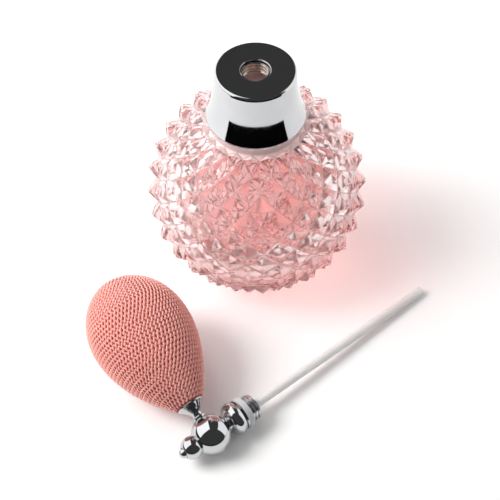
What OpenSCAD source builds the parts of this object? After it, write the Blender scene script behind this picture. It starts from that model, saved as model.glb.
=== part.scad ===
// Squeeze-bulb perfume atomiser, taken apart: the glass bottle stands upright and the
// sprayer lies on the table in front of it. The origin is the centre of the bottle's base.

/* [Bottle glass] */
// Radius over the tips of the cut glass pyramids
tip_r = 44; // [36:0.5:50]
// Height of one pyramid above the valleys between them
spike_h = 3.2; // [1.5:0.1:5]
// Height of the centre of the glass ball above the table
ball_z = 35.5; // [30:0.5:38]
// Pyramids in one ring round the ball
columns = 20; // [14:1:26]
// Latitude step from one ring of pyramids to the next, in degrees
row_step = 8.8; // [7:0.1:11]
// Turn of the whole pyramid pattern about the bottle's axis, in degrees
pattern_turn = -96.65; // [-180:0.05:180]
// Radius of the hollow inside the ball
cavity_r = 36; // [28:0.5:38]
// Thickness of the glass floor
floor_t = 5; // [3:0.5:8]
// Outer radius of the glass neck under the collar
neck_r = 12.5; // [11:0.1:13]
// Radius of the bore through the glass neck
neck_bore_r = 8; // [6.5:0.1:9.5]
// Radius of the plain glass shoulder that the collar sits on
shoulder_r = 17.7; // [16:0.1:18]
// Radius of the ground foot
foot_r = 22; // [18:0.5:24]

/* [Collar] */
// Height of the collar's flat top above the table
collar_top = 98.6; // [96:0.1:104]
// Height of the collar's lower rim above the table
collar_rim_z = 77; // [76.8:0.1:77.4]
// Radius of the flat top, inside its rounded edge
collar_top_r = 14.15; // [13.8:0.05:14.5]
// Radius of the collar's lower rim
collar_rim_r = 18.95; // [18.6:0.05:20]
// Wall of the collar's metal shell
collar_wall = 0.7; // [0.5:0.05:0.9]
// Radius of the hole in the collar's top plate
collar_hole_r = 5.55; // [5.4:0.05:5.9]

/* [Thread] */
// Outer radius of the male thread on the sprayer's stem
thread_r = 5.2; // [4.8:0.05:5.2]
// Depth of the thread
thread_depth = 0.6; // [0.3:0.05:0.7]
// Distance from one thread crest to the next
thread_pitch = 1.4; // [1.2:0.05:1.6]
// Radial gap between the male and female threads when they are screwed together
thread_gap = 0.1; // [0.05:0.01:0.2]

/* [Sprayer head] */
// Radius of the big ball
head_r = 7.6; // [7:0.1:8.4]
// Radius of the finial's larger ball
finial_r = 4.4; // [3.8:0.1:4.8]
// Radius of the finial's end ball
finial_tip_r = 2.36; // [2:0.02:2.8]
// Radius of the thin ring between the head and the stem bowl
neck_ring_r = 3.0; // [2.6:0.05:3.4]
// Largest radius of the stem bowl
bowl_r = 6.6; // [6:0.1:7]
// Radius of the thin flange under the bowl
flange_r = 6.1; // [5.9:0.05:6.3]
// Outer radius of the sealing washer
washer_r = 6.35; // [6:0.05:6.6]
// Thickness of the sealing washer
washer_t = 2.3; // [1.5:0.1:2.6]
// Outer radius of the dip tube
tube_r = 1.75; // [1.4:0.05:2]
// Bore radius of the dip tube
tube_bore_r = 1.2; // [0.9:0.05:1.3]
// Distance from the centre of the big ball to the tip of the dip tube
reach = 108.75; // [95:0.25:112]

/* [Bulb] */
// Largest radius over the knitted cover
bulb_r = 19.9; // [17:0.05:22]
// Distance along the bulb's axis from the big ball's centre to the bulb's widest place
bulb_wide_at = 47; // [42:0.5:50]
// Distance from the big ball's centre to the far end of the knitted cover
bulb_end = 71; // [66:0.1:76]
// Thickness of the knitted cover
net_t = 1.3; // [0.8:0.1:1.6]
// Wall of the rubber bulb
rubber_t = 1.6; // [1:0.1:2.2]
// Outer radius of the bell's rim
bell_rim_r = 5.4; // [5.2:0.05:5.8]
// Distance from the big ball's centre to the bell's rim
bell_rim_at = 13.9; // [13.5:0.1:14.5]
// Radius of the steel balls in the two air valves
valve_ball_r = 1.1; // [0.9:0.05:1.2]

/* [Lying pose] */
// Place of the big ball's centre on the table, left to right
head_x = -19.08; // [-40:0.01:20]
// Place of the big ball's centre on the table, front to back
head_y = -97.37; // [-120:0.01:-90]
// Direction in which the dip tube points, in degrees from the +X axis
heading = 38.36; // [30:0.01:45]
// Turn of the bulb about the dip tube, in degrees from straight up
bulb_turn = 73.7; // [60:0.1:80]
// Lean of the bulb's axis towards the dip tube, off square, in degrees
bulb_lean = 2; // [0:0.1:4]

/* [Hidden] */
$fn = 96;
core_r = tip_r - spike_h;
low_row = -7;
high_row = 8;
neck_top = 92.6;
seal_t = 0.6;
shoulder_top = collar_rim_z + 0.6;
bush_bottom = neck_top + seal_t;
plate_t = 1;
bush_top = collar_top - plate_t;
bush_r = 7.4;
bush_bore_r = thread_r - thread_depth + thread_gap;
crest_w = 0.4;
ring_top = -6.95;
bowl_top = -7.9;
flange_top = -13.3;
flange_low = -13.9;
washer_low = flange_low - washer_t;
thread_low = -20.4;
stem_bore_r = 2.55;
shank_under_washer_r = 5;
tube_top = -12;
capillary_r = 0.8;
shank_r = 1.35;
lock_at = 7.14;
lock_end = 8.3;
barb_at = 11.4;
barb_end = 19;
barb_r = 2.4;
chamber_r = 1.45;
mouth_r = 3.4;
tail_at = bulb_end - net_t;
plug_r = 2.5;
plug_gap = 0.05;
plug_end = tail_at - 0.4;
plug_flange_end = tail_at - rubber_t - 0.75;
tie_at = 12.1;
tie_end = 12.6;
rubber_mouth_at = 12;
bell_wall = 0.5;
dip = asin((head_r - tube_r) / reach);

// Point on a sphere about the glass ball's centre
function on_ball(r, lat, lon) =
    [r * cos(lat) * cos(lon), r * cos(lat) * sin(lon), ball_z + r * sin(lat)];
function odd(k) = abs(k) % 2;
function lattice_lon(k, i) = pattern_turn + 360 / columns * (i + odd(k) / 2);

// Corner of the valley net, and index of that corner in the list of points
function corner(k, i) = on_ball(core_r, k * row_step, lattice_lon(k, i));
function corner_at(k, i) = (k - low_row) * columns + (i + columns) % columns;
corner_count = (high_row - low_row + 1) * columns;
function tip_at(k, i) = corner_count + (k - low_row - 1) * columns + i;

// Ball covered in four-sided pyramids, on a diagonal net of valleys
module pyramid_ball() {
    corners = [for (k = [low_row:high_row], i = [0:columns - 1]) corner(k, i)];
    tips = [for (k = [low_row + 1:high_row - 1], i = [0:columns - 1])
        on_ball(tip_r, k * row_step, lattice_lon(k, i) + 180 / columns)];
    sides = [for (k = [low_row + 1:high_row - 1], i = [0:columns - 1])
        let (t = tip_at(k, i), l = corner_at(k, i), r = corner_at(k, i + 1),
            up = corner_at(k + 1, i + odd(k)), down = corner_at(k - 1, i + odd(k)))
        each [[t, down, l], [t, r, down], [t, up, r], [t, l, up]]];
    low_gaps = [for (i = [0:columns - 1])
        [corner_at(low_row, i), corner_at(low_row + 1, i + odd(low_row)),
            corner_at(low_row, i + 1)]];
    high_gaps = [for (i = [0:columns - 1])
        [corner_at(high_row, i), corner_at(high_row, i + 1),
            corner_at(high_row - 1, i + odd(high_row))]];
    low_cap = [[for (i = [0:columns - 1]) corner_at(low_row, i)]];
    high_cap = [[for (i = [columns - 1:-1:0]) corner_at(high_row, i)]];
    polyhedron(concat(corners, tips),
        concat(sides, low_gaps, high_gaps, low_cap, high_cap));
}

// Puts a piece of the sprayer, drawn with its stem along Z and its bulb along +X,
// where the sprayer lies on the table
module lay() {
    translate([head_x, head_y, head_r])
        rotate([0, dip - 90, heading])
            rotate([0, 0, bulb_turn])
                children();
}

// Puts a piece that is on the bulb's leaning axis where the sprayer lies
module lay_bulb() {
    lay() rotate([0, bulb_lean, 0]) children();
}

// Solid of revolution about the bulb's axis, from points of [distance, radius]
module along_bulb(outline) {
    rotate([0, 90, 0])
        rotate_extrude()
            polygon([for (p = outline) [p[1], p[0]]]);
}

// Cylinder or bore along the bulb's axis
module rod_x(from, to, r) {
    translate([from, 0, 0]) rotate([0, 90, 0]) cylinder(h = to - from, r = r);
}

// Cylinder or bore along the stem
module rod_z(from, to, r) {
    translate([0, 0, from]) cylinder(h = to - from, r = r);
}

// Radius over the knitted cover at a distance x along the bulb's axis
mouth_cover_r = 5.8;
function cover_r(x) = x < bulb_wide_at
    ? mouth_cover_r + (bulb_r - mouth_cover_r)
        * sin(90 * pow((x - bell_rim_at) / (bulb_wide_at - bell_rim_at), 0.9))
    : bulb_r * sqrt(max(0, 1 - pow((x - bulb_wide_at) / (bulb_end - bulb_wide_at), 2)));

// The cover's outline, moved inwards along its own normal by a depth
function cover_point(x, depth) =
    let (e = 0.01, slope = (cover_r(x + e) - cover_r(x - e)) / (2 * e),
        n = sqrt(1 + slope * slope))
    [x + slope * depth / n, cover_r(x) - depth / n];
function cover_outline(depth) = concat(
    [for (x = [bell_rim_at + 1.2:3:bulb_wide_at]) cover_point(x, depth)],
    [for (a = [6:7:83]) cover_point(bulb_wide_at
        + (bulb_end - bulb_wide_at) * sin(a), depth)]);

// Ring-shaped thread crests, from the lowest crest up
module crests(count, bottom, root, crest) {
    side = (thread_pitch - crest_w) / 2;
    rotate_extrude()
        for (i = [0:count - 1])
            translate([0, bottom + i * thread_pitch])
                polygon([[root - 0.2, -side], [root, -side * 0.8], [crest, 0],
                    [crest, crest_w], [root, crest_w + side * 0.8],
                    [root - 0.2, crest_w + side]]);
}

module glass_bottle() {
    color("lightpink")
        difference() {
            union() {
                pyramid_ball();
                translate([0, 0, 70]) cylinder(h = shoulder_top - 70, r = shoulder_r);
                translate([0, 0, 70]) cylinder(h = neck_top - 70, r = neck_r);
                cylinder(h = 4, r = foot_r);
            }
            translate([0, 0, -20]) cylinder(h = 20, r = 60);
            translate([0, 0, ball_z])
                intersection() {
                    sphere(r = cavity_r);
                    translate([-50, -50, floor_t - ball_z]) cube([100, 100, 100]);
                }
            translate([0, 0, ball_z]) cylinder(h = 80, r = neck_bore_r);
        }
}

// Outline of the collar's outside, from the rim up to the flat top
function collar_outline(inset) = [
    [collar_rim_r - inset, collar_rim_z],
    [collar_rim_r - 0.15 - inset, collar_rim_z + 0.9],
    [17.95 - inset, 80.2], [17.3 - inset, 83.3], [16.55 - inset, 86.8],
    [15.95 - inset, 90.4], [15.4 - inset, 94.2], [15.17 - inset, 97 - inset * 0.6]];

module collar_shell() {
    color("gainsboro")
        difference() {
            rotate_extrude()
                polygon(concat([[0, collar_rim_z]], collar_outline(0),
                    [for (a = [15:15:90]) [collar_top_r + 1.02 * cos(a),
                        97 + 1.6 * sin(a)]],
                    [[0, collar_top]]));
            rotate_extrude()
                polygon(concat([[0, collar_rim_z - 1], [collar_rim_r - collar_wall,
                    collar_rim_z - 1]], collar_outline(collar_wall),
                    [[13.6, bush_top], [0, bush_top]]));
            translate([0, 0, bush_top - 1]) cylinder(h = 4, r = collar_hole_r);
        }
}

module collar_bush() {
    color("wheat")
        difference() {
            translate([0, 0, bush_bottom])
                cylinder(h = bush_top - bush_bottom, r = bush_r);
            translate([0, 0, bush_bottom - 1]) cylinder(h = 8, r = bush_bore_r);
            crests(3, bush_bottom + 0.6, bush_bore_r, thread_r + thread_gap);
        }
}

module collar_cement() {
    color("white")
        rotate_extrude()
            polygon([[neck_r, shoulder_top], [17.1, shoulder_top],
                [16.2, 84.2], [15.1, 91], [neck_r, 91]]);
}

module neck_seal() {
    color("mistyrose")
        translate([0, 0, neck_top])
            difference() {
                cylinder(h = seal_t, r = neck_r);
                translate([0, 0, -1]) cylinder(h = 3, r = neck_bore_r - 1.6);
            }
}

module head_ball() {
    color("silver")
        lay()
            difference() {
                sphere(r = head_r);
                rod_z(-12, ring_top, 5);
                rod_z(-12, 3, stem_bore_r);
                rod_z(6.6, 12, 5);
                rod_z(3, 12, 1.2);
                rotate([0, bulb_lean, 0]) rod_x(lock_at, 12, 4);
                rotate([0, bulb_lean, 0]) rod_x(0, 12, shank_r);
                rod_x(-4.5, 0, 1.1);
                rod_x(-12, -4.5, 1.7);
            }
}

module finial() {
    color("silver")
        lay() {
            difference() {
                union() {
                    translate([0, 0, 8.9]) sphere(r = finial_r);
                    translate([0, 0, 12.15]) sphere(r = finial_tip_r);
                }
                rod_z(0, 6.6, 6);
            }
            rod_z(3.2, 6.7, 1.2);
        }
}

module spray_jet() {
    color("silver")
        lay()
            difference() {
                intersection() {
                    sphere(r = head_r);
                    rod_x(-9, -4.5, 1.7);
                }
                rod_x(-5.9, -4, 1);
                rod_x(-9, -5, 0.3);
            }
}

module capillary_tube() {
    color("gainsboro")
        lay()
            difference() {
                rod_z(-15, -0.2, capillary_r);
                rod_z(-16, 1, 0.45);
            }
}

module neck_ring() {
    color("silver")
        lay()
            difference() {
                rod_z(bowl_top, ring_top, neck_ring_r);
                rod_z(-9, 0, stem_bore_r);
            }
}

module stem_bowl() {
    bowl_z = -10.9;
    color("silver")
        lay()
            difference() {
                rotate_extrude()
                    polygon(concat([[0, flange_top], [5.85, flange_top]],
                        [for (a = [-30:12:90]) [3 + (bowl_r - 3) * cos(a),
                            bowl_z + (bowl_top - bowl_z) * sin(a)]],
                        [[0, bowl_top]]));
                rod_z(-14, 0, stem_bore_r);
            }
}

module thread_bushing() {
    color("silver")
        lay()
            difference() {
                union() {
                    rod_z(flange_low, -3, stem_bore_r);
                    rod_z(flange_low, flange_top, flange_r);
                    rod_z(washer_low, flange_low, shank_under_washer_r);
                    rod_z(thread_low, washer_low, thread_r - thread_depth);
                    crests(3, thread_low + 0.4, thread_r - thread_depth, thread_r);
                }
                rod_z(-22, tube_top, tube_r);
                rod_z(-16, 0, capillary_r);
            }
}

module seal_washer() {
    color("darkgray")
        lay()
            difference() {
                rod_z(washer_low, flange_low, washer_r);
                rod_z(-18, -10, shank_under_washer_r);
            }
}

module dip_tube() {
    color("whitesmoke")
        lay()
            difference() {
                rod_z(-reach, tube_top, tube_r);
                rod_z(-reach - 1, -11, tube_bore_r);
            }
}

module lock_ring() {
    color("silver")
        lay_bulb()
            difference() {
                rod_x(lock_at, lock_end, 2.6);
                rod_x(6, 10, shank_r);
            }
}

module bell_ferrule() {
    outside = [[lock_end, 1.9], [9.4, 1.95], [10.4, 2.55], [11.4, 3.45], [12.4, 4.4],
        [12.9, 4.9], [13.2, bell_rim_r - 0.1], [13.45, bell_rim_r],
        [bell_rim_at, bell_rim_r]];
    color("silver")
        lay_bulb()
            difference() {
                along_bulb(concat([[lock_end, 0]], outside, [[bell_rim_at, 0]]));
                along_bulb([[10.1, 0], [10.1, 1.4], [11.4, 2.95], [12.5, 4.1],
                    [13.1, 4.75], [15, 4.75], [15, 0]]);
                rod_x(7, 12, shank_r);
            }
}

module bulb_nipple() {
    color("gainsboro")
        lay_bulb()
            difference() {
                union() {
                    rod_x(3.5, barb_at, shank_r);
                    along_bulb([[barb_at, 0], [barb_at, barb_r], [barb_end - 1.5, barb_r],
                        [barb_end, barb_r - 0.4], [barb_end, 0]]);
                }
                rod_x(0, 14, 0.7);
                rod_x(13, 17.2, chamber_r);
                rod_x(16, 20, 0.75);
            }
}

module outlet_valve_ball() {
    color("lightgray")
        lay_bulb()
            translate([15.1, 0, 0]) sphere(r = valve_ball_r);
}

module outlet_valve_cage() {
    color("whitesmoke")
        lay_bulb()
            difference() {
                rod_x(13, 13.95, chamber_r);
                for (a = [0:90:270])
                    rotate([a, 0, 0]) translate([0, 0.9, 0]) rod_x(12, 15, 0.3);
            }
}

module rubber_bulb() {
    outer = cover_outline(net_t);
    inner = cover_outline(net_t + rubber_t);
    color("indianred")
        lay_bulb()
            difference() {
                along_bulb(concat([[rubber_mouth_at, 0], [rubber_mouth_at, mouth_r],
                    [14.6, mouth_r]], outer,
                    [[tail_at, 0]]));
                along_bulb(concat([[barb_end + 1.6, 0], [barb_end + 1.6, 2.4]],
                    [for (p = inner) if (p[0] > barb_end + 3) p],
                    [[tail_at - rubber_t, 0]]));
                rod_x(11, barb_end + 2, barb_r);
                rod_x(tail_at - 3, tail_at + 1, plug_r + plug_gap);
            }
}

module net_cover() {
    outer = cover_outline(0);
    inner = cover_outline(net_t);
    color("lightcoral")
        lay_bulb()
            difference() {
                along_bulb(concat([[tie_end + 0.05, 0], [tie_end + 0.05, mouth_r + 0.35],
                    [13.2, mouth_r + 0.6],
                    [bell_rim_at, mouth_r + 1.2], [bell_rim_at + 0.1, 5.4]],
                    outer, [[bulb_end, 0]]));
                along_bulb(concat([[11, 0], [11, mouth_r], [14.6, mouth_r]], inner,
                    [[tail_at, 0]]));
            }
}

module net_tie() {
    color("lightcoral")
        lay_bulb()
            difference() {
                rod_x(tie_at, tie_end, mouth_r + 0.2);
                rod_x(11, 14, mouth_r);
            }
}

module tail_valve_plug() {
    color("whitesmoke")
        lay_bulb()
            difference() {
                union() {
                    rod_x(tail_at - 4.6, plug_flange_end, 3.6);
                    rod_x(plug_flange_end, plug_end, plug_r);
                }
                rod_x(tail_at - 5, tail_at - 0.9, chamber_r);
                rod_x(tail_at - 2, tail_at + 1, 0.7);
            }
}

module tail_valve_ball() {
    color("lightgray")
        lay_bulb()
            translate([tail_at - 2.9, 0, 0]) sphere(r = valve_ball_r);
}

module tail_valve_cap() {
    color("whitesmoke")
        lay_bulb()
            difference() {
                rod_x(tail_at - 4.6, tail_at - 4.05, chamber_r);
                for (a = [0:90:270])
                    rotate([a, 0, 0]) translate([0, 0.9, 0])
                        rod_x(tail_at - 5, tail_at - 3, 0.3);
            }
}

glass_bottle();
collar_shell();
collar_bush();
collar_cement();
neck_seal();
head_ball();
finial();
spray_jet();
capillary_tube();
neck_ring();
stem_bowl();
thread_bushing();
seal_washer();
dip_tube();
lock_ring();
bell_ferrule();
bulb_nipple();
outlet_valve_ball();
outlet_valve_cage();
rubber_bulb();
net_cover();
net_tie();
tail_valve_plug();
tail_valve_ball();
tail_valve_cap();
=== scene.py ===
"""Looks of the squeeze-bulb perfume atomiser: the cut glass bottle stands upright and the sprayer
with its knitted bulb lies in front of it. Lengths named in this file are millimetres; MM turns
them into the frame's metres."""

import math

import bmesh
import bpy
import numpy as np
from mathutils import Matrix, Vector


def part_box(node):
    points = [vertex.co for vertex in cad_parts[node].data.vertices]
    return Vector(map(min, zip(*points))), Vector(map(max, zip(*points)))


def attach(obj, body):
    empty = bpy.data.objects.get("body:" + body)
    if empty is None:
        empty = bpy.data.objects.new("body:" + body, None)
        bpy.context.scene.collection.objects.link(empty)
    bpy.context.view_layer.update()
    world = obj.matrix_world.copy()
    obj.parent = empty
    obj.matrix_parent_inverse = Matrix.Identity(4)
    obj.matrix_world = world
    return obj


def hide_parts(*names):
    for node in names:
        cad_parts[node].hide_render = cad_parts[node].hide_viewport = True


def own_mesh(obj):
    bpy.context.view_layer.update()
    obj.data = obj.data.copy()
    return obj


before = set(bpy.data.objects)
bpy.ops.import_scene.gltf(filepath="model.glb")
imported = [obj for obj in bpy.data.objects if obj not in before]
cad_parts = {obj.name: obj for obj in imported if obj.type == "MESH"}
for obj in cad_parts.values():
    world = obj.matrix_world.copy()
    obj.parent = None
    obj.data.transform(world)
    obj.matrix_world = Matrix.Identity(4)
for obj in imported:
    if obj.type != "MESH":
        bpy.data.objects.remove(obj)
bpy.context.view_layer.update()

MM = 0.001
TURN = 2 * math.pi

# ---------------------------------------------------------------- camera
CAMERA_AT = (-3.272, -314.036, 401.159)
CAMERA_DOWN = 52.46
CAMERA_ROLL = -1.189
CAMERA_LENS = 86.4


def add_camera():
    data = bpy.data.cameras.new("camera")
    data.lens = CAMERA_LENS
    data.sensor_width = 36
    data.clip_start, data.clip_end = 0.01, 20
    camera = bpy.data.objects.new("camera", data)
    look = Matrix.Rotation(math.radians(90 - CAMERA_DOWN), 4, "X")
    roll = Matrix.Rotation(math.radians(CAMERA_ROLL), 4, "Z")
    camera.matrix_world = Matrix.Translation(Vector(CAMERA_AT) * MM) @ look @ roll
    bpy.context.scene.collection.objects.link(camera)
    bpy.context.scene.camera = camera


add_camera()

# ---------------------------------------------------------------- sizes
BALL_Z = 35.5
TIP_R = 44
SPIKE_H = 3.2
CORE_R = TIP_R - SPIKE_H
COLUMNS = 20
ROW_STEP = 8.8
PATTERN_TURN = -96.65
LOW_ROW, HIGH_ROW = -7, 8
LOW_LAT, HIGH_LAT = -57.4, 64.3
SHOULDER_R, SHOULDER_TOP = 17.7, 77.6
NECK_R, NECK_BORE_R, NECK_TOP = 12.5, 8, 92.6
CAVITY_R, FLOOR_T = 36, 5
FACET_EDGE = 0.22
VALLEY_REACH, VALLEY_AREA = 0.4, 1.8
SHOULDER_BAND_LOW, SHOULDER_BAND_INSET = 72, 0.9

COLLAR_TOP = 98.6
COLLAR_RIM, COLLAR_RIM_R = 77, 18.95
BEVEL_Z, BEVEL_R = 97, 15.17
COLLAR_WALL = 0.7
COLLAR_HOLE_R = 5.55
BUSH_LOW, BUSH_TOP, BUSH_R, BUSH_BORE_R = 93.2, 97.6, 7.4, 4.7

HEAD_R = 7.6
THREAD_R, THREAD_DEPTH, THREAD_PITCH = 5.2, 0.75, 1.4
THREAD_SIDES, THREAD_STEP = 96, 0.07
FLANGE_TOP, FLANGE_LOW = -13.3, -13.9
WASHER_LOW, THREAD_LOW = -16.2, -20.4
WASHER_R, FLANGE_R, BOWL_R = 6.35, 6.1, 6.6
TUBE_R, TUBE_BORE_R, REACH, TUBE_TOP = 1.75, 1.2, 108.75, -12

BELL_RIM_AT, BELL_RIM_R = 13.9, 5.4
MOUTH_R, MOUTH_COVER_R, RUBBER_MOUTH_AT = 3.4, 5.8, 12.0
BULB_R, BULB_WIDE_AT, BULB_END = 19.9, 47, 71
NET_T = 1.3
OUTLET_BALL_AT = 15.1


# ---------------------------------------------------------------- where the sprayer lies
def centre_of(node):
    low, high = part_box(node)
    return (low + high) / 2


def columns_matrix(x, y, z, origin):
    rows = [[x[i], y[i], z[i], origin[i]] for i in range(3)]
    return Matrix(rows + [[0, 0, 0, 1]])


bulb_axis = (centre_of("tail_valve_ball") - centre_of("outlet_valve_ball")).normalized()
head_at = centre_of("outlet_valve_ball") - bulb_axis * OUTLET_BALL_AT * MM
tube_axis = (centre_of("dip_tube") - head_at).normalized()
side_axis = (-tube_axis).cross(bulb_axis).normalized()
# Local Z runs from the head towards the finial, and local X square to it, towards the bulb
STEM = columns_matrix(side_axis.cross(-tube_axis), side_axis, -tube_axis, head_at)
# Local Z runs along the bulb's own axis
BULB = columns_matrix(side_axis.cross(bulb_axis), side_axis, bulb_axis, head_at)
UPRIGHT = Matrix.Identity(4)


# ---------------------------------------------------------------- materials
def material(name, rough=0.4, **sockets):
    """A Principled material; each keyword is a socket's name with _ for spaces."""
    made = bpy.data.materials.new(name)
    made.use_nodes = True
    shader = made.node_tree.nodes["Principled BSDF"]
    shader.inputs["Roughness"].default_value = rough
    for key, value in sockets.items():
        shader.inputs[key.replace("_", " ")].default_value = value
    return made, made.node_tree, shader


def noise(tree, scale, detail=3.0, roughness=0.5, stretch=None):
    """Noise in the piece's own coordinates; scale is how many patches fit in a metre."""
    coords = tree.nodes.new("ShaderNodeTexCoord")
    texture = tree.nodes.new("ShaderNodeTexNoise")
    texture.inputs["Scale"].default_value = scale
    texture.inputs["Detail"].default_value = detail
    texture.inputs["Roughness"].default_value = roughness
    source = coords.outputs["Object"]
    if stretch:
        mapping = tree.nodes.new("ShaderNodeMapping")
        mapping.inputs["Scale"].default_value = stretch
        tree.links.new(source, mapping.inputs["Vector"])
        source = mapping.outputs["Vector"]
    tree.links.new(source, texture.inputs["Vector"])
    return texture.outputs["Fac"]


def ramp(tree, source, *stops):
    """Colour ramp over a value; each stop is (place, colour)."""
    node = tree.nodes.new("ShaderNodeValToRGB")
    elements = node.color_ramp.elements
    while len(elements) < len(stops):
        elements.new(0.5)
    for element, (place, colour) in zip(elements, stops):
        element.position = place
        element.color = (*colour, 1)
    tree.links.new(source, node.inputs["Fac"])
    return node.outputs["Color"]


def spread(tree, source, low, high):
    """The value, mapped from 0.3..0.7 to low..high."""
    node = tree.nodes.new("ShaderNodeMapRange")
    for key, value in (("From Min", 0.3), ("From Max", 0.7), ("To Min", low), ("To Max", high)):
        node.inputs[key].default_value = value
    tree.links.new(source, node.inputs["Value"])
    return node.outputs["Result"]


def bump(tree, shader, height, strength, distance_mm):
    node = tree.nodes.new("ShaderNodeBump")
    node.inputs["Strength"].default_value = strength
    node.inputs["Distance"].default_value = distance_mm * MM
    tree.links.new(height, node.inputs["Height"])
    tree.links.new(node.outputs["Normal"], shader.inputs["Normal"])


def pink_glass():
    made, tree, shader = material("pink_glass", 0.0, Transmission_Weight=1.0, IOR=1.5)
    tint = ramp(tree, noise(tree, 60, 2), (0.35, (1.0, 0.93, 0.925)), (0.65, (1.0, 0.965, 0.96)))
    tree.links.new(tint, shader.inputs["Base Color"])
    tree.links.new(spread(tree, noise(tree, 400, 4), 0.0, 0.035), shader.inputs["Roughness"])
    bump(tree, shader, noise(tree, 260, 2), 0.15, 0.08)
    depth = tree.nodes.new("ShaderNodeVolumeAbsorption")
    depth.inputs["Color"].default_value = (0.86, 0.6, 0.59, 1)
    depth.inputs["Density"].default_value = 25
    tree.links.new(depth.outputs["Volume"], tree.nodes["Material Output"].inputs["Volume"])
    clear_to_lamps(tree, shader, (0.91, 0.855, 0.85, 1))
    return made


def lacquer():
    """The inside of the glass: nearly clear, and slightly rough so that it softens what lies
    behind it."""
    made, tree, shader = material("lacquered_glass", 0.15, Transmission_Weight=0.86, IOR=1.5)
    clouds = noise(tree, 55, 3)
    tint = ramp(tree, clouds, (0.3, (1.0, 0.9, 0.895)), (0.7, (1.0, 0.95, 0.945)))
    tree.links.new(tint, shader.inputs["Base Color"])
    tree.links.new(spread(tree, noise(tree, 500, 3), 0.03, 0.09), shader.inputs["Roughness"])
    clear_to_lamps(tree, shader, (0.91, 0.855, 0.85, 1))
    return made


def clear_to_lamps(tree, shader, tint):
    """Lets lamp light through the glass without a noisy caustic."""
    path = tree.nodes.new("ShaderNodeLightPath")
    clear = tree.nodes.new("ShaderNodeBsdfTransparent")
    clear.inputs["Color"].default_value = tint
    mix = tree.nodes.new("ShaderNodeMixShader")
    tree.links.new(path.outputs["Is Shadow Ray"], mix.inputs["Fac"])
    tree.links.new(shader.outputs["BSDF"], mix.inputs[1])
    tree.links.new(clear.outputs["BSDF"], mix.inputs[2])
    tree.links.new(mix.outputs["Shader"], tree.nodes["Material Output"].inputs["Surface"])


def polished_metal(name, tone, dull=0.02, worn=0.07):
    made, tree, shader = material(name, Metallic=1.0)
    darker = tuple(c * 0.93 for c in tone)
    tree.links.new(ramp(tree, noise(tree, 90, 4), (0.3, darker), (0.7, tone)), shader.inputs["Base Color"])
    hairs = noise(tree, 900, 5, 0.7, stretch=(1, 1, 0.15))
    tree.links.new(spread(tree, hairs, dull, worn), shader.inputs["Roughness"])
    bump(tree, shader, hairs, 0.06, 0.01)
    return made


def soft_solid(name, light, dark, rough, scale, depth_mm, **sockets):
    """Rubber, plaster, plastic or paper: mottled colour, uneven gloss and a fine grain."""
    made, tree, shader = material(name, rough, **sockets)
    colour = ramp(tree, noise(tree, scale, 4), (0.3, dark), (0.7, light))
    tree.links.new(colour, shader.inputs["Base Color"])
    gloss = spread(tree, noise(tree, scale * 4, 3), rough * 0.8, rough * 1.2)
    tree.links.new(gloss, shader.inputs["Roughness"])
    bump(tree, shader, noise(tree, scale * 12, 4), 0.3, depth_mm)
    return made


def knit_yarn():
    made, tree, shader = material("knit_yarn", 0.5, Sheen_Weight=0.3, Sheen_Roughness=0.4)
    shader.inputs["Sheen Tint"].default_value = (1.0, 0.78, 0.74, 1)
    fibres = noise(tree, 5200, 3, 0.65)
    patches = noise(tree, 70, 2)
    blend = tree.nodes.new("ShaderNodeMix")
    blend.data_type = "RGBA"
    blend.blend_type = "MULTIPLY"
    blend.inputs["Factor"].default_value = 1.0
    fibre_tone = ramp(tree, fibres, (0.3, (0.96, 0.31, 0.27)), (0.72, (1.0, 0.6, 0.53)))
    tree.links.new(fibre_tone, blend.inputs["A"])
    patch_tone = ramp(tree, patches, (0.3, (0.94, 0.93, 0.93)), (0.7, (1, 1, 1)))
    tree.links.new(patch_tone, blend.inputs["B"])
    tree.links.new(blend.outputs["Result"], shader.inputs["Base Color"])
    tree.links.new(spread(tree, fibres, 0.3, 0.48), shader.inputs["Roughness"])
    bump(tree, shader, fibres, 0.5, 0.06)
    return made


def frosted_shoulder_painted_light():
    """The band of glass under the collar's rim, rough and partly matt: its pale pink colour is painted
    light that covers the dark reflection of the collar's inside, which clear glass would show there.
    """
    made, tree, shader = material("frosted_shoulder_painted_light", 0.4, Transmission_Weight=0.35, IOR=1.5)
    # Pale pink base colour: painted light over the shoulder band
    tint = ramp(tree, noise(tree, 120, 3), (0.3, (0.9, 0.68, 0.67)), (0.7, (0.97, 0.78, 0.77)))
    tree.links.new(tint, shader.inputs["Base Color"])
    bump(tree, shader, noise(tree, 1500, 3), 0.2, 0.02)
    clear_to_lamps(tree, shader, (0.85, 0.75, 0.74, 1))
    return made


def valley_glass_painted_shade():
    """The pressed valleys between the pyramids, as fine darker lines: the dark base colour is painted shade
    in the creases, and the glass there is rougher.
    """
    made, tree, shader = material("valley_glass_painted_shade", 0.3, Transmission_Weight=0.75, IOR=1.5)
    # Dark pink base colour: painted shade along the valleys
    tint = ramp(tree, noise(tree, 120, 3), (0.3, (0.4, 0.22, 0.23)), (0.7, (0.54, 0.33, 0.34)))
    tree.links.new(tint, shader.inputs["Base Color"])
    tree.links.new(spread(tree, noise(tree, 700, 3), 0.22, 0.4), shader.inputs["Roughness"])
    clear_to_lamps(tree, shader, (0.9, 0.78, 0.77, 1))
    return made


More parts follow.
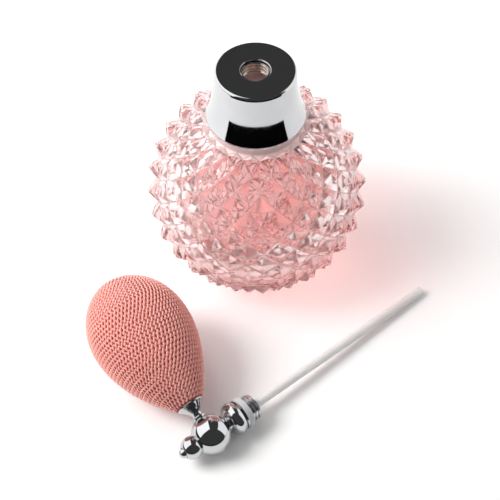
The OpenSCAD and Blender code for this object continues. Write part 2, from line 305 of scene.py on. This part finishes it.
GLASS = pink_glass()
PAINTED_VALLEY_SHADE = valley_glass_painted_shade()
SHOULDER = frosted_shoulder_painted_light()
LACQUER = lacquer()
CHROME = polished_metal("chrome", (0.60, 0.61, 0.625))
NICKEL = polished_metal("nickel_brass", (0.82, 0.74, 0.68), 0.06, 0.14)
STEEL = polished_metal("steel", (0.55, 0.55, 0.56), 0.05, 0.12)
YARN = knit_yarn()
RUBBER = soft_solid("bulb_rubber", (0.8, 0.13, 0.11), (0.66, 0.09, 0.08), 0.6, 120, 0.05)
PLASTER = soft_solid("plaster", (0.85, 0.83, 0.8), (0.74, 0.72, 0.69), 0.8, 200, 0.05)
SEAL = soft_solid("clear_seal", (0.95, 0.62, 0.6), (0.85, 0.5, 0.48), 0.4, 200, 0.02)
SILICONE = soft_solid("silicone", (0.78, 0.79, 0.82), (0.68, 0.69, 0.72), 0.35, 160, 0.02,
                      Transmission_Weight=0.35, IOR=1.42)
TUBE = soft_solid("tube_plastic", (1.0, 0.99, 0.99), (0.95, 0.94, 0.94), 0.42, 140, 0.002,
                  Transmission_Weight=0.45, IOR=1.3)
WHITE = soft_solid("white_plastic", (0.88, 0.88, 0.86), (0.8, 0.8, 0.78), 0.45, 200, 0.02)


# ---------------------------------------------------------------- mesh helpers
def new_object(name, mesh, finish, body, replaces=()):
    """Links a mesh as a piece that rides on a body and stands for CAD nodes."""
    mesh.materials.append(finish)
    piece = bpy.data.objects.new(name, mesh)
    bpy.context.scene.collection.objects.link(piece)
    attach(piece, body)
    if replaces:
        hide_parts(*replaces)
    return piece


def fine_shading(piece):
    """Smooth shading that keeps large faces flat and turns only over the rounded edges."""
    piece.data.polygons.foreach_set("use_smooth", [True] * len(piece.data.polygons))
    normals = piece.modifiers.new("normals", "WEIGHTED_NORMAL")
    normals.mode = "FACE_AREA"
    normals.weight = 80


def place_points(points, place):
    """Points in millimetres in a local frame, as metres in the shared frame."""
    matrix = np.array(place)
    return points * MM @ matrix[:3, :3].T + matrix[:3, 3]


def ring_mesh(name, rings, place, closed):
    """Mesh through rings of equal length. A closed stack joins its last ring to its first; an
    open one ends in a point at each end's centre."""
    count, around = len(rings), len(rings[0])
    points = np.concatenate(rings)
    faces = []
    for j in range(count if closed else count - 1):
        a, b = j * around, (j + 1) % count * around
        faces += [(a + i, a + (i + 1) % around, b + (i + 1) % around, b + i) for i in range(around)]
    if not closed:
        first, last = len(points), len(points) + 1
        points = np.vstack([points, rings[0].mean(0), rings[-1].mean(0)])
        end = (count - 1) * around
        faces += [(first, (i + 1) % around, i) for i in range(around)]
        faces += [(last, end + i, end + (i + 1) % around) for i in range(around)]
    mesh = bpy.data.meshes.new(name)
    mesh.from_pydata(place_points(points, place).tolist(), [], faces)
    shape = bmesh.new()
    shape.from_mesh(mesh)
    bmesh.ops.recalc_face_normals(shape, faces=shape.faces)
    shape.to_mesh(mesh)
    shape.free()
    return mesh


def circle(along, radius, segments):
    angle = np.arange(segments) * TURN / segments
    radius = np.full(segments, radius) if np.isscalar(radius) else radius
    return np.stack([radius * np.cos(angle), radius * np.sin(angle), np.full(segments, along)], 1)


def rounded(outline, radius, closed, steps=4):
    """An outline of (along, radius) points with each corner turned into a short curve."""
    points = [Vector(p) for p in outline]
    made = []
    for i, point in enumerate(points):
        if not closed and i in (0, len(points) - 1):
            made.append(tuple(point))
            continue
        before, after = points[i - 1] - point, points[(i + 1) % len(points)] - point
        reach = min(radius, before.length * 0.45, after.length * 0.45)
        start, end = point + before.normalized() * reach, point + after.normalized() * reach
        for k in range(steps + 1):
            t = k / steps
            made.append(tuple((1 - t) ** 2 * start + 2 * t * (1 - t) * point + t * t * end))
    return made


def arc(centre_along, centre_r, radius, start, end, count, squash=1.0):
    """Points of (along, radius) on an arc; angle 0 points away from the axis."""
    angles = [math.radians(start + (end - start) * i / (count - 1)) for i in range(count)]
    return [(centre_along + squash * radius * math.sin(a), centre_r + radius * math.cos(a)) for a in angles]


def lathe(name, outline, place, finish, body, replaces=(), edge=0.12, closed=True, segments=96):
    """A turned piece from an outline of (along, radius) points, with softened corners."""
    soft = rounded(outline, edge, closed) if edge else outline
    rings = [circle(along, radius, segments) for along, radius in soft]
    piece = new_object(name, ring_mesh(name, rings, place, closed), finish, body, replaces)
    fine_shading(piece)
    return piece


def smooth_curve(points, steps=5):
    """Catmull-Rom curve through (along, radius) points."""
    padded = [points[0], *points, points[-1]]
    made = []
    for a, b, c, d in zip(padded, padded[1:], padded[2:], padded[3:]):
        for k in range(steps):
            t = k / steps
            made.append(tuple(
                0.5 * (2 * b[i] + (c[i] - a[i]) * t + (2 * a[i] - 5 * b[i] + 4 * c[i] - d[i]) * t * t
                       + (3 * b[i] - a[i] - 3 * c[i] + d[i]) * t ** 3) for i in (0, 1)))
    return made + [tuple(points[-1])]


# ---------------------------------------------------------------- bottle
def on_ball(radius, lat, lon):
    lat, lon = math.radians(lat), math.radians(lon)
    flat = radius * math.cos(lat)
    return Vector((flat * math.cos(lon), flat * math.sin(lon), BALL_Z + radius * math.sin(lat)))


def lattice_lon(row, column):
    return PATTERN_TURN + 360 / COLUMNS * (column + row % 2 / 2)


def bottle_glass():
    """One closed skin: pyramids outside, a smooth hollow and neck bore inside."""
    shape = bmesh.new()
    corners = {}
    for row in range(LOW_ROW, HIGH_ROW + 1):
        lat = min(HIGH_LAT, max(LOW_LAT, row * ROW_STEP))
        for column in range(COLUMNS):
            corners[row, column] = shape.verts.new(on_ball(CORE_R, lat, lattice_lon(row, column)))
    cut_edges = set()
    for row in range(LOW_ROW + 1, HIGH_ROW):
        for column in range(COLUMNS):
            lon = lattice_lon(row, column) + 180 / COLUMNS
            tip = shape.verts.new(on_ball(TIP_R, row * ROW_STEP, lon))
            near = (column + row % 2) % COLUMNS
            left, right = corners[row, column], corners[row, (column + 1) % COLUMNS]
            up, down = corners[row + 1, near], corners[row - 1, near]
            for a, b in ((down, left), (right, down), (up, right), (left, up)):
                cut_edges.update(shape.faces.new((tip, a, b)).edges)
    for row, out in ((LOW_ROW, 1), (HIGH_ROW, -1)):
        for column in range(COLUMNS):
            near = (column + row % 2) % COLUMNS
            trio = (corners[row, column], corners[row + out, near], corners[row, (column + 1) % COLUMNS])
            cut_edges.update(shape.faces.new(trio if out > 0 else trio[::-1]).edges)
    cut_edges = [e for e in cut_edges if len(e.link_faces) == 2]
    bmesh.ops.bevel(shape, geom=cut_edges, offset=FACET_EDGE, offset_type="OFFSET", segments=2,
                    profile=0.6, affect="EDGES", clamp_overlap=True)
    rims = rim_loops(shape)
    close_bottle(shape, rims)
    bmesh.ops.recalc_face_normals(shape, faces=shape.faces)
    for vert in shape.verts:
        vert.co *= MM
    mesh = bpy.data.meshes.new("bottle_glass")
    shape.to_mesh(mesh)
    shape.free()
    piece = new_object("bottle_glass", mesh, GLASS, "bottle", ["glass_bottle"])
    mesh.materials.append(LACQUER)
    mesh.materials.append(PAINTED_VALLEY_SHADE)
    mesh.materials.append(SHOULDER)
    for face in mesh.polygons:
        reach = (face.center - Vector((0, 0, BALL_Z * MM))).length
        # Faces along the valleys take the material whose dark colour is painted shade in the creases
        if abs(reach - CORE_R * MM) < VALLEY_REACH * MM and face.area < VALLEY_AREA * MM ** 2:
            face.material_index = 2
        out = Vector(face.center[:2]).length
        # The band under the collar's rim takes the pale material painted to lighten it
        if face.center.z > SHOULDER_BAND_LOW * MM and out > (SHOULDER_R - SHOULDER_BAND_INSET) * MM:
            face.material_index = 3
        if reach < (CAVITY_R + 0.1) * MM and face.center.z > (FLOOR_T - 1) * MM:
            face.material_index = 1
    fine_shading(piece)


def rim_loops(shape):
    """The open upper and lower rims of the cut ball, each as vertices in order round the axis."""
    border = {v for e in shape.edges if len(e.link_faces) == 1 for v in e.verts}
    loops = []
    for upper in (True, False):
        rim = [v for v in border if (v.co.z > BALL_Z) == upper]
        loops.append(sorted(rim, key=lambda v: math.atan2(v.co.y, v.co.x)))
    return loops


def close_bottle(shape, rims):
    """Adds the shoulder, neck, bore, hollow and foot to the open cut ball."""
    top, bottom = rims
    hollow_top = BALL_Z + math.sqrt(CAVITY_R ** 2 - NECK_BORE_R ** 2)
    low_angle = math.degrees(math.asin((FLOOR_T - BALL_Z) / CAVITY_R))
    high_angle = math.degrees(math.asin((hollow_top - BALL_Z) / CAVITY_R))
    neck = rounded([(72.6, SHOULDER_R), (SHOULDER_TOP, SHOULDER_R), (SHOULDER_TOP, NECK_R),
                    (NECK_TOP, NECK_R), (NECK_TOP, NECK_BORE_R), (hollow_top + 1, NECK_BORE_R)], 0.6, False)
    hollow = arc(BALL_Z, 0, CAVITY_R, high_angle, low_angle + 3, 40)
    floor_r = CAVITY_R * math.cos(math.radians(low_angle + 3))
    floor = [(FLOOR_T + 0.3, floor_r - 0.9), (FLOOR_T, floor_r - 2.6), (FLOOR_T, 6)]
    inside = add_rings(shape, top, neck + hollow + floor)
    outside = add_rings(shape, bottom, [(0.35, 21.8), (0, 21.4), (0, 18), (0.5, 17.2), (0.5, 6)])
    for ring in (inside, outside):
        shape.faces.new(ring)


def add_rings(shape, start, outline, segments=120):
    """Continues an open rim with turned rings and returns the last ring."""
    previous = [shape.verts.new(p) for p in circle(*outline[0], segments)]
    bridge(shape, start, previous)
    for along, radius in outline[1:]:
        ring = [shape.verts.new(p) for p in circle(along, radius, segments)]
        for i in range(segments):
            j = (i + 1) % segments
            shape.faces.new((previous[i], previous[j], ring[j], ring[i]))
        previous = ring
    return previous


def turn_angle(vert):
    return math.atan2(vert.co.y, vert.co.x) % TURN


def bridge(shape, a, b):
    """Triangles between two rings of different counts, by angle."""
    a, b = sorted(a, key=turn_angle), sorted(b, key=turn_angle)
    angle_a, angle_b = [turn_angle(v) for v in a], [turn_angle(v) for v in b]
    i = j = 0
    while i < len(a) or j < len(b):
        next_a = angle_a[i + 1] if i + 1 < len(a) else angle_a[0] + TURN
        next_b = angle_b[j + 1] if j + 1 < len(b) else angle_b[0] + TURN
        if j >= len(b) or (i < len(a) and next_a <= next_b):
            shape.faces.new((a[i % len(a)], a[(i + 1) % len(a)], b[j % len(b)]))
            i += 1
        else:
            shape.faces.new((a[i % len(a)], b[(j + 1) % len(b)], b[j % len(b)]))
            j += 1


def flare_r(z):
    """Outside radius of the collar's wall: a slight cone that flares out towards the rim."""
    down = (BEVEL_Z - z) / (BEVEL_Z - COLLAR_RIM)
    straight = 1.75
    return BEVEL_R + straight * down + (COLLAR_RIM_R - BEVEL_R - straight) * down ** 3


def collar():
    """Spun metal collar: a flared wall, a rounded upper edge and a flat drilled top."""
    side = [(z, flare_r(z)) for z in np.linspace(COLLAR_RIM, BEVEL_Z, 48)]
    outer = side + arc(BEVEL_Z, BEVEL_R - 1.02, 1.02, 4, 90, 12, squash=(COLLAR_TOP - BEVEL_Z) / 1.02)
    inner = [(z - 0.5 * (z > 96), r - COLLAR_WALL) for z, r in side][::-1]
    plate = [(COLLAR_TOP, COLLAR_HOLE_R + 0.25), (COLLAR_TOP - 0.25, COLLAR_HOLE_R),
             (BUSH_TOP, COLLAR_HOLE_R), (BUSH_TOP, 13.6)]
    lathe("collar", outer + plate + inner, UPRIGHT, CHROME, "bottle", ["collar_shell"],
          edge=0, segments=192)


def collar_bush():
    """Threaded bush with a real helical thread in its bore."""
    bore = thread_rings(BUSH_LOW, BUSH_TOP, BUSH_BORE_R, THREAD_R + 0.1)
    outside = [circle(BUSH_TOP, BUSH_R, THREAD_SIDES), circle(BUSH_LOW, BUSH_R, THREAD_SIDES)]
    mesh = ring_mesh("bush", bore + outside, UPRIGHT, True)
    piece = new_object("bush", mesh, NICKEL, "bottle", ["collar_bush"])
    fine_shading(piece)


def thread_rings(low, high, root, crest):
    """Rings of a helical thread from low to high, fading in and out at the ends."""
    angle = np.arange(THREAD_SIDES) / THREAD_SIDES
    rings = []
    for along in np.arange(low, high + THREAD_STEP / 2, THREAD_STEP):
        wave = 1 - abs(2 * ((along / THREAD_PITCH - angle) % 1) - 1)
        ridge = np.clip((wave - 0.3) / 0.4, 0, 1)
        ridge = ridge * ridge * (3 - 2 * ridge)
        fade = min(1.0, (along - low) / 0.5, (high - along) / 0.5)
        rings.append(circle(along, root + (crest - root) * ridge * max(0.0, fade), THREAD_SIDES))
    return rings


# ---------------------------------------------------------------- sprayer
def head():
    outline = arc(0, 0, HEAD_R, -89.5, 89.5, 90)
    lathe("head", outline, STEM, CHROME, "sprayer", ["head_ball"],
          edge=0, closed=False, segments=160)


def jet():
    """Small spray insert set flush in the head, opposite the bulb."""
    place = STEM @ Matrix.Rotation(math.radians(-90), 4, "Y")
    outline = [(4.4, 1.6), (HEAD_R - 0.15, 1.6), (HEAD_R + 0.02, 1.35), (HEAD_R + 0.02, 0.55),
               (HEAD_R - 0.3, 0.3), (4.4, 0.3)]
    lathe("jet", outline, place, STEEL, "sprayer", ["spray_jet"], edge=0.06, segments=48)


def finial():
    big = arc(8.9, 0, 4.4, -88, 58, 60)
    small = arc(12.5, 0, 2.0, -8, 89, 40)
    lathe("finial_balls", big + small, STEM, CHROME, "sprayer", ["finial"],
          edge=0, closed=False, segments=128)


def stem():
    """Neck ring, bowl, threaded bushing and washer, each turned on its own."""
    lathe("collarette", [(-7.95, 2.5), (-7.95, 3.0), (-7.0, 3.0), (-7.0, 2.5)], STEM, CHROME,
          "sprayer", ["neck_ring"], edge=0.3)
    bowl = [(FLANGE_TOP, 2.6), (FLANGE_TOP, 5.85)] + arc(-10.9, 3, BOWL_R - 3, -30, 90, 24, squash=3 / 3.6)
    bowl.append((-7.9, 2.6))
    lathe("bowl", bowl, STEM, CHROME, "sprayer", ["stem_bowl"], edge=0)
    thread = thread_rings(THREAD_LOW, WASHER_LOW, THREAD_R - THREAD_DEPTH, THREAD_R)
    upper = [circle(z, r, THREAD_SIDES) for z, r in rounded(
        [(WASHER_LOW + 0.02, 5), (FLANGE_LOW, 5), (FLANGE_LOW, FLANGE_R), (FLANGE_TOP, FLANGE_R),
         (FLANGE_TOP, 2.5)], 0.12, False)]
    inner = [circle(z, TUBE_R, THREAD_SIDES) for z in (FLANGE_TOP, THREAD_LOW + 0.25)]
    lead_in = [circle(THREAD_LOW, TUBE_R + 0.25, THREAD_SIDES), circle(THREAD_LOW, 4.2, THREAD_SIDES)]
    mesh = ring_mesh("stem_thread", thread + upper + inner + lead_in, STEM, True)
    piece = new_object("stem_thread", mesh, CHROME, "sprayer", ["thread_bushing"])
    fine_shading(piece)
    lathe("washer", [(WASHER_LOW, 5), (WASHER_LOW, WASHER_R), (FLANGE_LOW, WASHER_R), (FLANGE_LOW, 5)],
          STEM, SILICONE, "sprayer", ["seal_washer"], edge=0.35)


def dip_tube():
    low = -REACH
    outline = [(low, TUBE_BORE_R), (low, TUBE_R), (TUBE_TOP, TUBE_R), (TUBE_TOP, TUBE_BORE_R)]
    lathe("tube", outline, STEM, TUBE, "sprayer", ["dip_tube"], edge=0.1, segments=48)


def ferrule():
    """Bell that grips the mouth of the bulb, with the ring that locks it to the head."""
    lathe("lock_nut", [(7.1, 1.4), (7.1, 2.6), (8.3, 2.6), (8.3, 1.4)], BULB, CHROME, "sprayer",
          ["lock_ring"], edge=0.35)
    side = [(8.3, 1.9), (9.4, 1.95), (10.4, 2.55), (11.4, 3.45), (12.4, 4.4), (12.9, 4.9)]
    rim = [(13.2, 5.3), (13.45, BELL_RIM_R), (13.75, BELL_RIM_R), (BELL_RIM_AT, 5.2), (BELL_RIM_AT, 4.9)]
    inside = [(13.1, 4.75), (12.5, 4.1), (11.4, 2.95), (10.1, 1.4), (8.3, 1.4)]
    lathe("bell", smooth_curve(side) + rim + inside, BULB, CHROME, "sprayer",
          ["bell_ferrule"], edge=0, segments=128)


# ---------------------------------------------------------------- bulb
def cover_r(x):
    """Radius over the knitted cover at a distance x along the bulb's axis."""
    rise = (np.clip(x, BELL_RIM_AT, BULB_WIDE_AT) - BELL_RIM_AT) / (BULB_WIDE_AT - BELL_RIM_AT)
    near = MOUTH_COVER_R + (BULB_R - MOUTH_COVER_R) * np.sin(math.pi / 2 * rise ** 0.9)
    far = BULB_R * np.sqrt(np.clip(1 - ((x - BULB_WIDE_AT) / (BULB_END - BULB_WIDE_AT)) ** 2, 0, 1))
    return np.where(x < BULB_WIDE_AT, near, far)


def cover_line(count=4000):
    """Places along the cover's outline: x, radius, outward normal (along, out) and run length."""
    near = np.linspace(BELL_RIM_AT, BULB_WIDE_AT, count)
    far = BULB_WIDE_AT + (BULB_END - BULB_WIDE_AT) * np.sin(np.linspace(0, math.pi / 2, count))[1:]
    x = np.concatenate([near, far])
    r = cover_r(x)
    run = np.concatenate([[0], np.cumsum(np.hypot(np.diff(x), np.diff(r)))])
    slope_x, slope_r = np.gradient(x, run), np.gradient(r, run)
    return x, r, -slope_r, slope_x, run


def squeezed(piece):
    """Gives the piece a mesh of its own."""
    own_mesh(piece)


def rubber():
    """Squeeze bulb under the net. It is one closed form: its hollow is not modelled here."""
    x, r, nx, nr, run = cover_line()
    pick = np.linspace(0, run[-1], 60)
    out = np.stack([np.interp(pick, run, x - nx * NET_T), np.interp(pick, run, r - nr * NET_T)], 1)
    outline = [(RUBBER_MOUTH_AT, MOUTH_R)] + [(a, max(b, 0.001)) for a, b in out if b > 0.4]
    rings = [circle(a, b, 96) for a, b in outline]
    piece = new_object("rubber", ring_mesh("rubber", rings, BULB, False), RUBBER, "sprayer",
                       ["rubber_bulb"])
    fine_shading(piece)
    squeezed(piece)


COURSE = 1.75
STITCH_W = 1.7
YARN_R = 0.4
LOOP_DEPTH = 0.46
LOOP_HEIGHT = 0.75
LEAN = 0.45
NET_START, NET_STOP = 0.95, 0.5
YARN_WANDER = 0.018
FEWEST_STITCHES, MOST_STITCHES = 8, 80
YARN_SIDES = 4
STITCH_STEPS = 10


def stitch_course(place, count, lines):
    """Centreline of one course of stitches; place is its run length along the cover."""
    x, r, nx, nr, run = lines
    t = np.arange(count * STITCH_STEPS) / STITCH_STEPS * TURN
    width = 1.0 / count
    around = (t + LEAN * np.cos(t)) / TURN * width
    along = place + LOOP_HEIGHT * np.cos(t)
    along = np.clip(along, 0, run[-1] - 0.3)
    depth = YARN_R + 0.02 + LOOP_DEPTH * (1 + np.sin(t)) / 2
    base_x, base_r = np.interp(along, run, x), np.interp(along, run, r)
    out_x, out_r = np.interp(along, run, nx), np.interp(along, run, nr)
    radius = base_r - out_r * depth
    centre_x = base_x - out_x * depth
    angle = around * TURN
    return np.stack([radius * np.cos(angle), radius * np.sin(angle), centre_x], 1)


def tube_round(line, radius):
    """Points and quads of a closed tube round a closed line."""
    ahead = np.roll(line, -1, 0) - np.roll(line, 1, 0)
    ahead /= np.linalg.norm(ahead, axis=1)[:, None]
    out = line * [1, 1, 0]
    out /= np.linalg.norm(out, axis=1)[:, None]
    side = np.cross(ahead, out)
    side /= np.linalg.norm(side, axis=1)[:, None]
    out = np.cross(side, ahead)
    angle = np.arange(YARN_SIDES) * TURN / YARN_SIDES
    points = (line[:, None] + radius * (np.cos(angle)[None, :, None] * out[:, None]
                                        + np.sin(angle)[None, :, None] * side[:, None])).reshape(-1, 3)
    i = np.arange(len(line))[:, None] * YARN_SIDES
    after = (np.arange(len(line))[:, None] + 1) % len(line) * YARN_SIDES
    k = np.arange(YARN_SIDES)[None]
    k2 = (k + 1) % YARN_SIDES
    quads = np.stack([i + k, after + k, after + k2, i + k2], 2).reshape(-1, 4)
    return points, quads


def mesh_from_arrays(name, points, quads):
    mesh = bpy.data.meshes.new(name)
    mesh.vertices.add(len(points))
    mesh.vertices.foreach_set("co", points.astype(np.float32).ravel())
    mesh.loops.add(quads.size)
    mesh.loops.foreach_set("vertex_index", quads.astype(np.int32).ravel())
    mesh.polygons.add(len(quads))
    mesh.polygons.foreach_set("loop_start", np.arange(0, quads.size, 4, dtype=np.int32))
    mesh.polygons.foreach_set("use_smooth", [True] * len(quads))
    mesh.update(calc_edges=True)
    mesh.validate()
    return mesh


def knitted_net():
    """The net over the bulb: zigzag courses whose raised legs show as slanting dashes."""
    lines = cover_line()
    _, cover_radius, _, _, run = lines
    rng = np.random.default_rng(7)
    all_points, all_quads, start = [], [], 0
    for place in np.arange(NET_START, run[-1] - NET_STOP, COURSE):
        radius = float(np.interp(place, run, cover_radius))
        count = round(TURN * radius / STITCH_W)
        count = max(FEWEST_STITCHES, min(MOST_STITCHES, count))
        line = stitch_course(place, count, lines)
        line = line + rng.normal(0, YARN_WANDER, line.shape)
        points, quads = tube_round(line, YARN_R)
        all_points.append(points)
        all_quads.append(quads + start)
        start += len(points)
    points = place_points(np.concatenate(all_points), BULB)
    mesh = mesh_from_arrays("net", points, np.concatenate(all_quads))
    piece = new_object("net", mesh, YARN, "sprayer", ["net_cover"])
    squeezed(piece)


# ---------------------------------------------------------------- stage
FLOOR_SIZE = 6000
SKY_FILL = 0.26
SKY_SEEN = 0.93
SKY_MIRRORED = 0.055
KEY_POWER = 8.6
FILL_POWER = 4.0
SIDE_POWER = 12.0
CARD_NEAR, CARD_FAR, CARD_HALF = 188, 2800, 64
CARD_BOW, CARD_UP, CARD_STEPS = 24, 0.5, 16


def floor():
    mesh = bpy.data.meshes.new("floor")
    half = FLOOR_SIZE / 2 * MM
    corners = [(-half, -half, 0), (half, -half, 0), (half, half, 0), (-half, half, 0)]
    mesh.from_pydata(corners, [], [(0, 1, 2, 3)])
    plane = bpy.data.objects.new("floor", mesh)
    made = soft_solid("floor_paper", (0.93, 0.93, 0.93), (0.92, 0.92, 0.92), 0.75, 30, 0.02)
    mesh.materials.append(made)
    bpy.context.scene.collection.objects.link(plane)


def dark_card():
    """Matt black card on the floor before the bottle, a bowed sector of a ring. Only
    reflections show it."""
    made, _, shader = material("black_card", 0.9)
    shader.inputs["Base Color"].default_value = (0.002, 0.002, 0.002, 1)
    shader.inputs["Specular IOR Level"].default_value = 0
    mesh = bpy.data.meshes.new("black_card")
    edge = [CARD_NEAR - CARD_BOW * (k / CARD_STEPS) ** 2 for k in range(-CARD_STEPS, CARD_STEPS + 1)]
    points, faces = [], []
    for k, near in enumerate(edge):
        angle = math.radians(-90 + CARD_HALF * (k / CARD_STEPS - 1))
        for r in (near, CARD_FAR):
            points.append((r * MM * math.cos(angle), r * MM * math.sin(angle), CARD_UP * MM))
    for k in range(2 * CARD_STEPS):
        faces.append((2 * k, 2 * k + 1, 2 * k + 3, 2 * k + 2))
    mesh.from_pydata(points, [], faces)
    mesh.materials.append(made)
    card = bpy.data.objects.new("black_card", mesh)
    bpy.context.scene.collection.objects.link(card)
    card.visible_camera = card.visible_diffuse = False
    card.visible_transmission = card.visible_shadow = False


def softbox(name, centre, normal, across, width, height, power):
    """Rectangular area lamp; centre and sizes in metres from the sprayer's head."""
    data = bpy.data.lights.new(name, "AREA")
    data.shape = "RECTANGLE"
    data.size, data.size_y = width, height
    data.energy = power
    data.color = (1.0, 0.995, 0.985)
    lamp = bpy.data.objects.new(name, data)
    back = Vector(normal).normalized()
    x = Vector(across).normalized()
    y = back.cross(x).normalized()
    x = y.cross(back)
    lamp.matrix_world = columns_matrix(x, y, back, head_at + Vector(centre))
    bpy.context.scene.collection.objects.link(lamp)
    return lamp


def sky():
    """White fill for the matt surfaces, a dark studio in the mirrors, pale behind the floor."""
    world = bpy.data.worlds.new("studio")
    world.use_nodes = True
    tree = world.node_tree
    out = tree.nodes["World Output"]
    path = tree.nodes.new("ShaderNodeLightPath")
    fill, seen, mirrored = (tree.nodes.new("ShaderNodeBackground") for _ in range(3))
    for node, strength in ((fill, SKY_FILL), (seen, SKY_SEEN), (mirrored, SKY_MIRRORED)):
        node.inputs["Color"].default_value = (1, 1, 1, 1)
        node.inputs["Strength"].default_value = strength
    first, second = tree.nodes.new("ShaderNodeMixShader"), tree.nodes.new("ShaderNodeMixShader")
    tree.links.new(path.outputs["Is Glossy Ray"], first.inputs["Fac"])
    tree.links.new(fill.outputs["Background"], first.inputs[1])
    tree.links.new(mirrored.outputs["Background"], first.inputs[2])
    tree.links.new(path.outputs["Is Camera Ray"], second.inputs["Fac"])
    tree.links.new(first.outputs["Shader"], second.inputs[1])
    tree.links.new(seen.outputs["Background"], second.inputs[2])
    tree.links.new(second.outputs["Shader"], out.inputs["Surface"])
    bpy.context.scene.world = world


def stage():
    floor()
    dark_card()
    sky()
    softbox("softbox_left", (-0.44, 0.78, 0.44), (-0.92, -0.11, 0.38), (0.19, -0.96, 0.19),
            1.83, 1.0, KEY_POWER)
    softbox("softbox_right", (0.75, 0.64, 0.17), (0.44, -0.12, 0.89), (-0.23, -0.97, -0.02),
            1.42, 0.77, FILL_POWER)
    side = softbox("softbox_side", (-0.85, 0.05, 0.9), (-0.68, -0.02, 0.73), (0, 1, 0),
                   0.55, 0.55, SIDE_POWER)
    side.visible_glossy = False
    scene = bpy.context.scene
    scene.view_settings.view_transform = "Standard"
    scene.cycles.max_bounces = 24
    scene.cycles.transmission_bounces = 20
    scene.cycles.glossy_bounces = 6
    scene.cycles.transparent_max_bounces = 24
    scene.cycles.sample_clamp_indirect = 6


# ---------------------------------------------------------------- everything in order
CAD_FINISH = {"collar_cement": PLASTER, "neck_seal": SEAL, "capillary_tube": TUBE, "bulb_nipple": NICKEL,
              "outlet_valve_ball": STEEL, "outlet_valve_cage": WHITE, "net_tie": YARN,
              "tail_valve_plug": WHITE, "tail_valve_ball": STEEL, "tail_valve_cap": WHITE}


def finish_cad_nodes():
    """Gives each CAD node that still shows its own material."""
    for name, finish in CAD_FINISH.items():
        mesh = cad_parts[name].data
        mesh.materials.clear()
        mesh.materials.append(finish)


finish_cad_nodes()
bottle_glass()
collar()
collar_bush()
head()
jet()
finial()
stem()
dip_tube()
ferrule()
rubber()
knitted_net()
stage()
